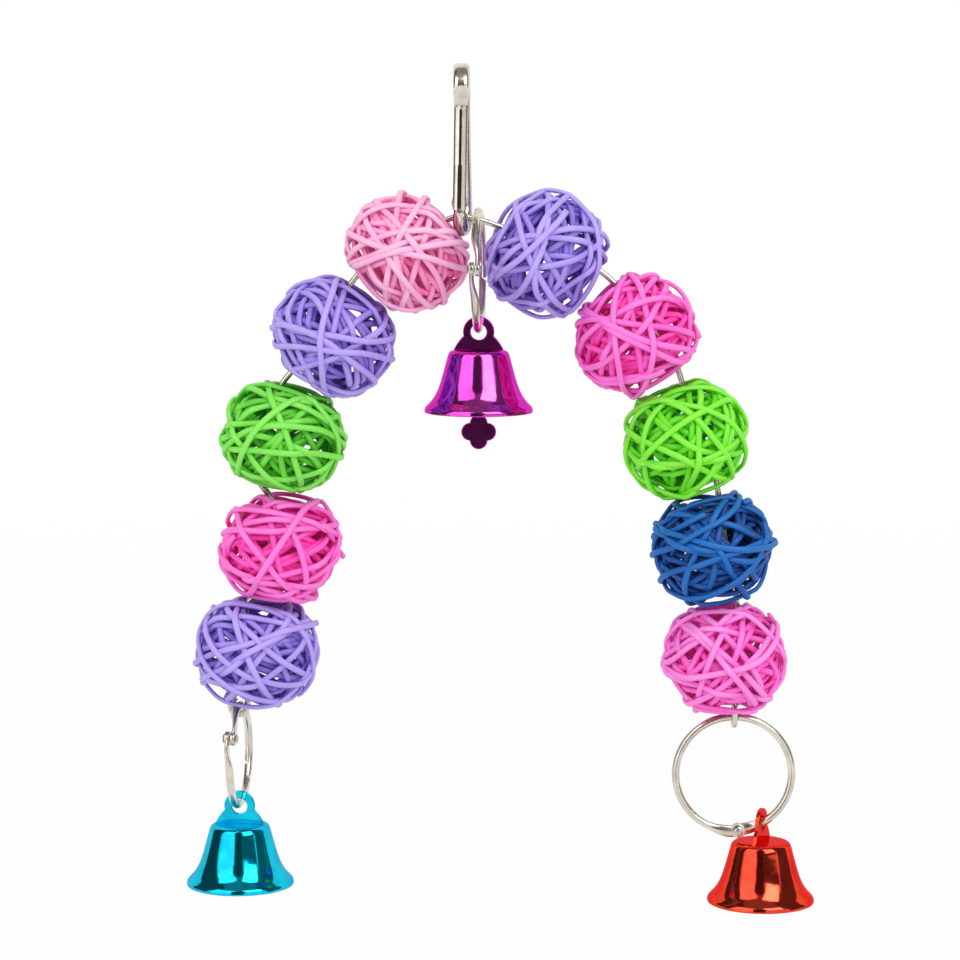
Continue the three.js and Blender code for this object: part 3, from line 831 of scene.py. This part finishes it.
ring_middles = {"centre": 14.05, "left": 12.05, "right": 14.05}
ring_turns = {"centre": math.radians(86), "left": math.radians(83), "right": 0}
ring_hinges = {"centre": math.radians(176), "left": math.radians(150), "right": math.radians(-85)}
ring_halves = {"centre": ("upper", "lower"), "left": ("upper", "lower"), "right": ("free_half", "fixed_half")}
ring_rod = 0.95
ring_sides = 20
ring_knuckle = 1.7
leaf_thickness = 1.1
hinge_gap = 0.3


def bell_point(name):
    return joint_point(f"{name}_bell_swing")


def ring_place(name):
    """Where a ring is: the right one hangs from the wire's eye, and the others stand over their bells."""
    if name == "right":
        middle = joint_point("right_ring_swing") - Vector((0, 0, ring_middles[name]))
    else:
        middle = bell_point(name) + Vector((0, 0, ring_middles[name]))
    return Matrix.Translation(middle) @ Matrix.Rotation(ring_turns[name], 4, "Z")


def hinge_point(name):
    across = ring_middles[name]
    return Vector((across * math.cos(ring_hinges[name]), 0, across * math.sin(ring_hinges[name])))


def along_ring(vert, name, way):
    """How far round the ring from the hinge a point lies, in millimetres of rod."""
    turn = way * (math.atan2(vert.co.z, vert.co.x) - ring_hinges[name])
    return (turn % (2 * math.pi)) * ring_middles[name]


def press_hinge_end(shape, name, way):
    """Flattens the rod towards the hinge: wider across the ring, thinner, and shifted to its leaf's side."""
    flat_to = 2.5
    round_from = 8
    widening = 0.55
    thinning = 0.42
    shift = 0.7
    across = ring_middles[name]
    for vert in shape.verts:
        distance = along_ring(vert, name, way)
        if distance < round_from:
            flat = 1 - max(0, (distance - flat_to) / (round_from - flat_to))
            flat = flat * flat * (3 - 2 * flat)
            radius = math.hypot(vert.co.x, vert.co.z)
            wider = across + (radius - across) * (1 + widening * flat)
            vert.co.x *= wider / radius
            vert.co.z *= wider / radius
            vert.co.y = vert.co.y * (1 - thinning * flat) + way * shift * flat


def cut_lap(shape, name, way):
    """Cuts the far end of the rod to half its thickness, so that the two halves' ends lie side by side."""
    lap_length = 1.8
    past_end = 6
    half_gap = 0.15
    start = math.pi * ring_middles[name] - lap_length
    for vert in shape.verts:
        if start < along_ring(vert, name, way) < start + past_end:
            vert.co.y = max(half_gap, vert.co.y) if way > 0 else min(-half_gap, vert.co.y)


def add_leaf(shape, name, way):
    """The round leaf that the hinge's pin goes through, with soft rims."""
    rim_turn = 1
    offset = Vector((0, way * (leaf_thickness + hinge_gap) / 2, 0))
    place = Matrix.Translation(hinge_point(name) + offset) @ Matrix.Rotation(math.pi / 2, 4, "X")
    leaf = bmesh.ops.create_cone(
        shape, cap_ends=True, segments=32, radius1=ring_knuckle, radius2=ring_knuckle, depth=leaf_thickness,
        matrix=place,
    )
    rims = {edge for vert in leaf["verts"] for edge in vert.link_edges if edge.calc_face_angle() > rim_turn}
    bmesh.ops.bevel(shape, geom=list(rims), offset=0.16, segments=3, profile=0.5, affect="EDGES", material=-1)


def bend_ring_half(name, half, way):
    """Half a ring: its rod is pressed flat into a leaf at the hinge, and cut half away where the ends lap."""
    across = ring_middles[name]
    begin = 0.7 / across
    end = math.pi + 1.5 / across
    section_place = Matrix.Translation((across, 0, 0))
    shape = bmesh.new()
    made = bmesh.ops.create_circle(shape, segments=ring_sides, radius=ring_rod, matrix=section_place)
    first_turn = Matrix.Rotation(-(ring_hinges[name] + way * begin), 3, "Y")
    bmesh.ops.rotate(shape, verts=made["verts"], matrix=first_turn)
    bmesh.ops.spin(
        shape, geom=shape.verts[:] + shape.edges[:], cent=(0, 0, 0), axis=(0, -way, 0), angle=end - begin,
        steps=60,
    )
    bmesh.ops.holes_fill(shape, edges=shape.edges, sides=ring_sides)
    bmesh.ops.recalc_face_normals(shape, faces=shape.faces)
    press_hinge_end(shape, name, way)
    cut_lap(shape, name, way)
    add_leaf(shape, name, way)
    bmesh.ops.transform(shape, matrix=ring_place(name), verts=shape.verts)
    set_piece(f"bent_{name}_ring_{half}", shape, nickel, f"{name}_ring_{half}", sharp=35)


def set_ring_pin(name):
    shape = rivet(radius=0.6, head=1.1, span=3.1, head_height=0.3)
    bmesh.ops.translate(shape, verts=shape.verts, vec=hinge_point(name))
    bmesh.ops.transform(shape, matrix=ring_place(name), verts=shape.verts)
    set_piece(f"{name}_ring_rivet", shape, pin_steel, f"{name}_ring_pin")


for ring_name, half_names in ring_halves.items():
    bend_ring_half(ring_name, half_names[0], -1)
    bend_ring_half(ring_name, half_names[1], 1)
    set_ring_pin(ring_name)

# Bells, drawn down from the middle of the ring's rod

bell_turns = {"centre": math.radians(-4), "left": math.radians(-7), "right": math.radians(75)}
hanger_turns = {"centre": 0, "left": 0, "right": math.radians(-7)}
bell_holes = {"centre": -0.6, "left": -0.6, "right": 0.0}
clapper_drops = {"centre": 17.4, "left": 8.0, "right": 8.0}
bell_height = 14.9
bell_mouth = 13
bell_wall = 0.5
crown_wall = 0.6
hanger_rise = 4
tang_hole = 1.0


def bell_place(name):
    return Matrix.Translation(bell_point(name)) @ Matrix.Rotation(bell_turns[name], 4, "Z")


def crown_level(name):
    return bell_holes[name] - hanger_rise - seat_gap


def tang_level(name):
    """The height of the hole in the tang, under the crown."""
    return crown_level(name) - crown_wall - seat_gap - tang_hole


def spin_bell(name):
    """The shell: a flat crown, a soft shoulder, flaring sides and a lip that turns down again."""
    wall_drop = 0.12
    steps = 5
    knots = [
        (3.0, 0.0), (5.5, -0.02), (6.35, -0.13), (6.95, -0.48), (7.3, -1.1), (7.75, -2.7), (8.3, -4.7),
        (8.95, -7.0), (9.65, -9.1), (10.45, -10.8), (11.4, -12.2), (12.3, -13.15), (12.86, -13.85),
        (bell_mouth, -14.45), (bell_mouth, 0.15 - bell_height),
    ]
    route = smooth_route([Vector((radius, 0, z)) for radius, z in knots], steps)
    side = [(point.x, point.z) for point in route]
    rim = [
        (bell_mouth - 0.1, -bell_height), (bell_mouth - 0.35, -bell_height),
        (bell_mouth - bell_wall, wall_drop - bell_height),
    ]
    lined = reversed(side[steps:-steps - 1])
    inner = [(radius - bell_wall, min(z, -crown_wall) - wall_drop) for radius, z in lined]
    profile = [(0.0, 0.0), *side, *rim, *inner, (0.0, -crown_wall - wall_drop)]
    crown_z = crown_level(name)
    shape = turned_shape([(radius, z + crown_z) for radius, z in profile], segments=96)
    bmesh.ops.transform(shape, matrix=bell_place(name), verts=shape.verts)
    set_piece(f"spun_{name}_bell", shape, lacquers[name], f"{name}_bell_shell", sharp=60)


def cut_hanger(name):
    """The plate on the crown: an eye for the ring, a flared foot, and a tang through the crown."""
    eye = 3.75
    eye_hole = 1.9
    flare = math.radians(15)
    tang = 1.4
    foot = 5.95
    seat = 0.1
    hole_z = bell_holes[name]
    base = crown_level(name)
    tang_z = tang_level(name)
    left = [
        (-3.95, hole_z - 1.25), (-4.45, hole_z - 1.8), (-5.1, hole_z - 2.65), (-5.65, hole_z - 3.6),
        (-foot, base + seat), (-foot, base - seat), (-tang, base - seat), (-tang, tang_z - 0.3),
    ]
    right = [(-x, z) for x, z in reversed(left)]
    top = arc(0, hole_z, eye, -flare, math.pi + flare, steps=40)
    bottom = arc(0, tang_z - 0.4, tang, math.pi, 2 * math.pi, steps=12)
    ring_eye = arc(0, hole_z, eye_hole, 0, 2 * math.pi, steps=32)[:-1]
    clapper_eye = arc(0, tang_z, tang_hole, 0, 2 * math.pi, steps=24)[:-1]
    shape = flat_plate([[*top, *left, *bottom, *right], ring_eye, clapper_eye], thickness=1.0, edge=0.14)
    place = bell_place(name) @ Matrix.Rotation(hanger_turns[name], 4, "Z")
    bmesh.ops.transform(shape, matrix=place, verts=shape.verts)
    node = f"{name}_bell_hanger"
    set_piece(f"cut_{node}", shape, lacquers[name], node, sharp=45)


def hang_clapper(name):
    """Four lobes on a wire whose top is bent round the tang."""
    lobe = 2.15
    offset = 2.05
    loop = 1.35
    neck_wire = 0.35
    drop = clapper_drops[name]
    pin_z = tang_level(name) - 0.65 + seat_gap
    meet = math.pi / 4 + math.asin(offset * math.sqrt(0.5) / lobe)
    outline = []
    for quarter in range(4):
        turn = quarter * math.pi / 2
        middle_x = offset * math.cos(turn)
        middle_z = pin_z - drop + offset * math.sin(turn)
        outline += arc(middle_x, middle_z, lobe, turn - meet, turn + meet, steps=18)[:-1]
    shape = flat_plate([outline], thickness=0.8, edge=0.18)
    loop_z = pin_z - loop
    loop_foot = loop_z - 1.6 * loop
    neck = pin_z - drop + offset + lobe / 2
    knots = [
        (0, neck), (0, (neck + loop_foot) / 2), (0, loop_foot), (-loop, loop_z), (0, loop_z + loop),
        (loop, loop_z), (loop / 2, loop_z - 0.9 * loop),
    ]
    route = smooth_route([Vector((0, y, z)) for y, z in knots], steps=8)
    take_in(shape, round_rods([route], neck_wire))
    bmesh.ops.transform(shape, matrix=bell_place(name), verts=shape.verts)
    set_piece(f"{name}_clapper", shape, lacquers[name], f"{name}_bell_clapper", sharp=45)


for bell_name in bell_turns:
    spin_bell(bell_name)
    cut_hanger(bell_name)
    hang_clapper(bell_name)

# Stage, lights and camera, in metres

white = (1, 1, 1, 1)
toy_middle = Vector((0, 0, -0.1))
floor_level = -0.25
floor_front = -0.3
floor_size = 200
softbox_distance = 1.1

# Each card: its azimuth in degrees, distance, width and height, the height of its middle, and its brightness

cards = {
    "dark_left": (-93, 1.25, 1.15, 2.6, 0.5, 0.06),
    "dark_middle": (-4.5, 1.25, 0.65, 1.4, 0.2, 0.05),
    "dark_right": (82, 1.25, 1.15, 2.6, 0.5, 0.12),
    "dark_above": (0, 0.5, 3.6, 2.8, 1.5, 0.25),
    "dark_low_right": (33, 1.15, 0.95, 0.17, 0.18, 0.06),
    "bright_left": (-41, 1.2, 1.05, 1.0, 0.76, 0.7),
    "bright_low_left": (-41, 1.15, 1.0, 0.62, 0.02, 1.5),
    "bright_right": (34, 1.0, 0.75, 0.85, 0.7, 5.0),
}

# Each softbox: its azimuth in degrees, the height of its middle, its width and height, and its power in watts

softboxes = {
    "softbox_left": (-41, 0.7, 1.0, 0.95, 3.4),
    "softbox_right": (34, 0.7, 0.8, 0.95, 4.8),
}


def shown_rays(start):
    """1 on rays that show a surface to the camera, straight or in a shine, and 0 on rays that only light."""
    rays = ("Is Camera Ray", "Is Glossy Ray", "Is Transmission Ray")
    seen, glossy, through = [start.node("ShaderNodeLightPath", {}, {}, ray) for ray in rays]
    return seen + glossy + through


def pale_floor():
    """White where it is seen, but for a trace of shadow near the toy, and pale paper for the light."""
    near_white = 0.92
    shadow_near = 0.4
    shadow_far = 1.6
    material, start = new_finish("pale floor")
    glow = start.node("ShaderNodeEmission", {}, {"Color": white, "Strength": 1.0})
    paper = start.node("ShaderNodeBsdfDiffuse", {}, {"Color": (0.9, 0.9, 0.9, 1)})
    place = start.node("ShaderNodeTexCoord", {}, {}, "Object")
    away = start.node("ShaderNodeVectorMath", {"operation": "LENGTH"}, {0: place}, "Value")
    share = shown_rays(start) * (near_white + (1 - near_white) * away.within(shadow_near, shadow_far))
    surface = start.node("ShaderNodeMixShader", {}, {0: share, 1: paper, 2: glow})
    start.node("ShaderNodeOutputMaterial", {}, {"Surface": surface})
    return material


def card_finish(name, shade):
    material, start = new_finish(name)
    surface = start.node("ShaderNodeEmission", {}, {"Color": white, "Strength": shade})
    start.node("ShaderNodeOutputMaterial", {}, {"Surface": surface})
    return material


def set_stage_sheet(name, finish, matrix):
    shape = bmesh.new()
    bmesh.ops.create_grid(shape, x_segments=1, y_segments=1, size=0.5, matrix=matrix)
    mesh = bpy.data.meshes.new(name)
    shape.to_mesh(mesh)
    shape.free()
    mesh.materials.append(finish)
    sheet = bpy.data.objects.new(name, mesh)
    bpy.context.scene.collection.objects.link(sheet)
    return sheet


def set_floor():
    middle = Matrix.Translation((0, floor_front + floor_size / 2, floor_level))
    set_stage_sheet("floor", pale_floor(), middle @ Matrix.Diagonal((floor_size, floor_size, 1, 1)))


def towards(azimuth, distance, height):
    """A place round the toy that faces it: azimuth 0 is the camera's side, growing to the right."""
    turn = math.radians(azimuth)
    place = Vector((distance * math.sin(turn), -distance * math.cos(turn), height))
    facing = (toy_middle - place).to_track_quat("-Z", "Y").to_matrix().to_4x4()
    return Matrix.Translation(place) @ facing


def set_card(name, azimuth, distance, wide, tall, height, shade):
    """A card beside the camera, which only shows in shiny surfaces, as the sides of a studio do."""
    size = Matrix.Diagonal((wide, tall, 1, 1))
    card = set_stage_sheet(name, card_finish(name, shade), towards(azimuth, distance, height) @ size)
    for ray in ("camera", "diffuse", "shadow", "transmission", "volume_scatter"):
        setattr(card, f"visible_{ray}", False)


def set_softbox(name, azimuth, height, wide, tall, power):
    lamp = bpy.data.lights.new(name, "AREA")
    lamp.shape = "RECTANGLE"
    lamp.size = wide
    lamp.size_y = tall
    lamp.energy = power
    holder = bpy.data.objects.new(name, lamp)
    holder.matrix_world = towards(azimuth, softbox_distance, height)
    bpy.context.scene.collection.objects.link(holder)


def set_world():
    """A white room, which lights the toy a little less than it shows."""
    lighting = 0.8
    world = bpy.data.worlds.new("white studio")
    bpy.context.scene.world = world
    world.use_nodes = True
    world.node_tree.nodes.clear()
    start = Tone(world.node_tree)
    shown = start.sum_node("MINIMUM", shown_rays(start), 1.0)
    strength = lighting + shown * (1 - lighting)
    light = start.node("ShaderNodeBackground", {}, {"Color": white, "Strength": strength})
    start.node("ShaderNodeOutputWorld", {}, {"Surface": light})


def set_camera():
    distance = 0.75
    rise = math.radians(6.7)
    target = Vector((4.4, 0, -95.4)) * mm
    data = bpy.data.cameras.new("photograph")
    data.lens = 117.3
    data.sensor_width = 36
    camera = bpy.data.objects.new("photograph", data)
    back = Vector((0, -math.cos(rise), math.sin(rise)))
    facing = (-back).to_track_quat("-Z", "Y").to_matrix().to_4x4()
    camera.matrix_world = Matrix.Translation(target + back * distance) @ facing
    bpy.context.scene.collection.objects.link(camera)
    bpy.context.scene.camera = camera


set_floor()
for card_name, card in cards.items():
    set_card(card_name, *card)
for softbox_name, softbox in softboxes.items():
    set_softbox(softbox_name, *softbox)
set_world()
set_camera()
bpy.context.scene.view_settings.view_transform = "Standard"
